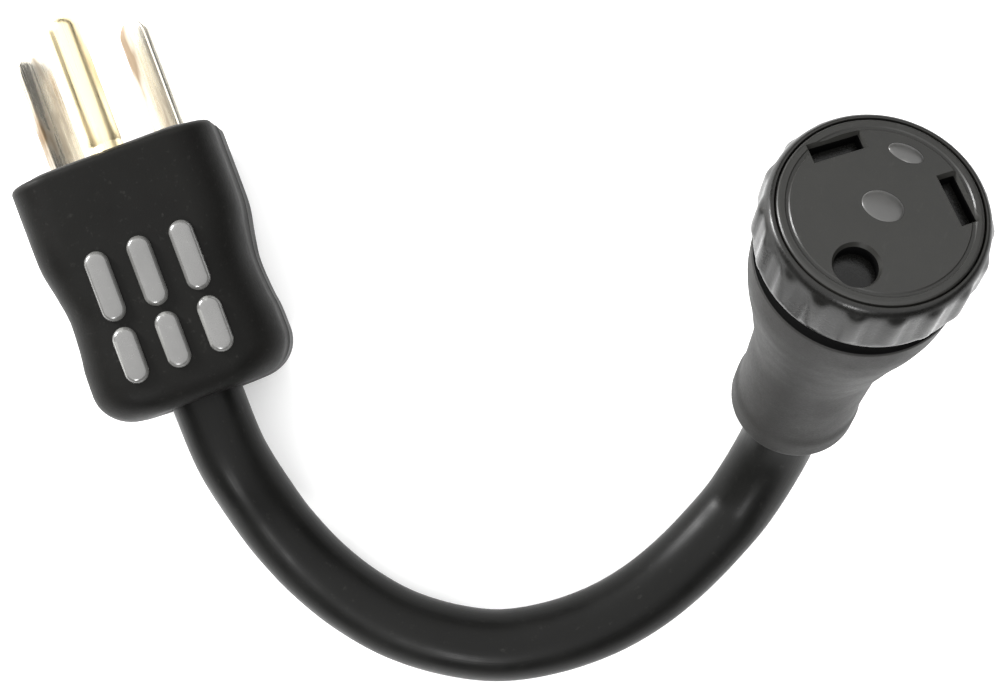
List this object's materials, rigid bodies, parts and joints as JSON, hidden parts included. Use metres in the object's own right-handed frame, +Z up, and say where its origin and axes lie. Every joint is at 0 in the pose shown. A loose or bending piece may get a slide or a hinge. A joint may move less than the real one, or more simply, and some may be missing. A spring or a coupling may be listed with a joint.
{
  "type": "power adapter dogbone",
  "caption": "Short stiff cord in a U between a moulded plug with slanted blades and a round ground pin and a tilted in-line socket with matching slots.",
  "frame": {"origin": "on the surface the plug and the cord lie on, under the middle of the box around the plug and the connector", "axes": "+Z up from that surface, +X from the plug towards the connector, +Y away from the bottom of the cord's U"},
  "size_m": [0.1676, 0.1252, 0.0993],
  "materials": {
    "soft_black_pvc": "soft moulded PVC with a satin sheen",
    "hard_black_nylon": "hard moulded nylon, satin",
    "nickel_plated_brass": "bright nickel plating with light handling marks",
    "brass": "drawn brass, slightly dull",
    "jacket_black": "extruded flexible sheath, satin",
    "line_black": "extruded PVC",
    "neutral_white": "extruded PVC",
    "ground_green": "extruded PVC",
    "copper": "bare stranded copper",
    "filler_fibre": "twisted paper filler"
  },
  "bodies": {
    "root": {"connector_contact_cover": "hard_black_nylon", "connector_face_insert": "hard_black_nylon", "connector_overmould": "soft_black_pvc", "cord_jacket": "jacket_black", "filler_strand_1": "filler_fibre", "filler_strand_2": "filler_fibre", "filler_strand_3": "filler_fibre", "ground_conductor": "copper", "ground_contact": "brass", "ground_insulation": "ground_green", "ground_pin": "brass", "line_blade": "nickel_plated_brass", "line_conductor": "copper", "line_contact": "brass", "line_insulation": "line_black", "neutral_blade": "nickel_plated_brass", "neutral_conductor": "copper", "neutral_contact": "brass", "neutral_insulation": "neutral_white", "plug_blade_carrier": "hard_black_nylon", "plug_overmould": "soft_black_pvc"}
  },
  "joints": []
}
